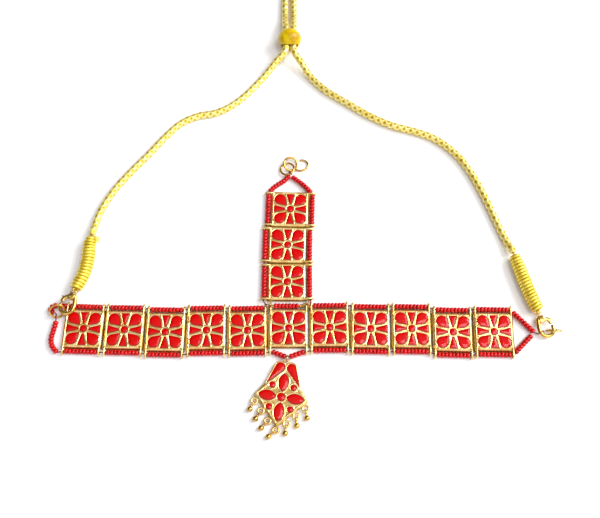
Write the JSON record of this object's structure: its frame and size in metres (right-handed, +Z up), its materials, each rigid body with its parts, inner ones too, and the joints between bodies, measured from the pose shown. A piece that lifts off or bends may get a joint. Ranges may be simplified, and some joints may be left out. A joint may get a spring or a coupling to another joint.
{
  "type": "maang tikka",
  "caption": "Enamelled brow band of square flower tiles on bead strings, with a parting strip, hair hook, fringed drop, two clasps and a tie cord.",
  "frame": {"origin": "middle of the centre band tile's flat back, on the surface that the ornament lies on", "axes": "+X along the brow band to the picture's right, +Y from the band towards the strip and the cord, +Z up off the surface"},
  "size_m": [0.2306, 0.2332, 0.0116],
  "materials": {
    "gold": "polished gold plate with red enamel in the cells",
    "seed_beads": "glossy opaque red",
    "zari_thread": "metallic yellow-gold thread",
    "amber_bead": "gloss"
  },
  "bodies": {
    "tikka": {"band_tile_1": "gold", "band_tile_2": "gold", "band_tile_3": "gold", "band_tile_4": "gold", "band_tile_5": "gold", "band_tile_6": "gold", "band_tile_7": "gold", "band_tile_8": "gold", "band_tile_9": "gold", "band_tile_10": "gold", "band_tile_11": "gold", "strip_tile_1": "gold", "strip_tile_2": "gold", "strip_tile_3": "gold", "band_string_top": "seed_beads", "band_string_bottom": "seed_beads", "strip_string_left": "seed_beads", "strip_string_right": "seed_beads", "strip_ring_left": "gold", "strip_ring_right": "gold", "top_ring": "gold", "clasp_ring_left": "gold", "clasp_ring_right": "gold", "drop_bail": "gold", "hair_hook": "gold", "drop": "gold", "fringe_ball_1": "gold", "fringe_ball_2": "gold", "fringe_ball_3": "gold", "fringe_ball_4": "gold", "fringe_ball_5": "gold", "fringe_ball_6": "gold", "fringe_ball_7": "gold", "clasp_body_left": "gold", "clasp_body_right": "gold", "wrap_left": "zari_thread", "wrap_right": "zari_thread", "cord_left": "zari_thread", "cord_right": "zari_thread", "slider_bead": "amber_bead"},
    "lever_left": {"clasp_lever_left": "gold"},
    "lever_right": {"clasp_lever_right": "gold"}
  },
  "joints": [
    {"name": "lever_left_hinge", "type": "hinge", "parent": "tikka", "child": "lever_left", "pos_m": [-0.09861, 0.01395, 0.0038], "axis": [0, 0, 1], "range_deg": [0, 25], "stiffness_Nm_per_rad": 0.0005},
    {"name": "lever_right_hinge", "type": "hinge", "parent": "tikka", "child": "lever_right", "pos_m": [0.11431, 0.00391, 0.00205], "axis": [0, 0, 1], "range_deg": [-25, 0], "stiffness_Nm_per_rad": 0.0005}
  ]
}
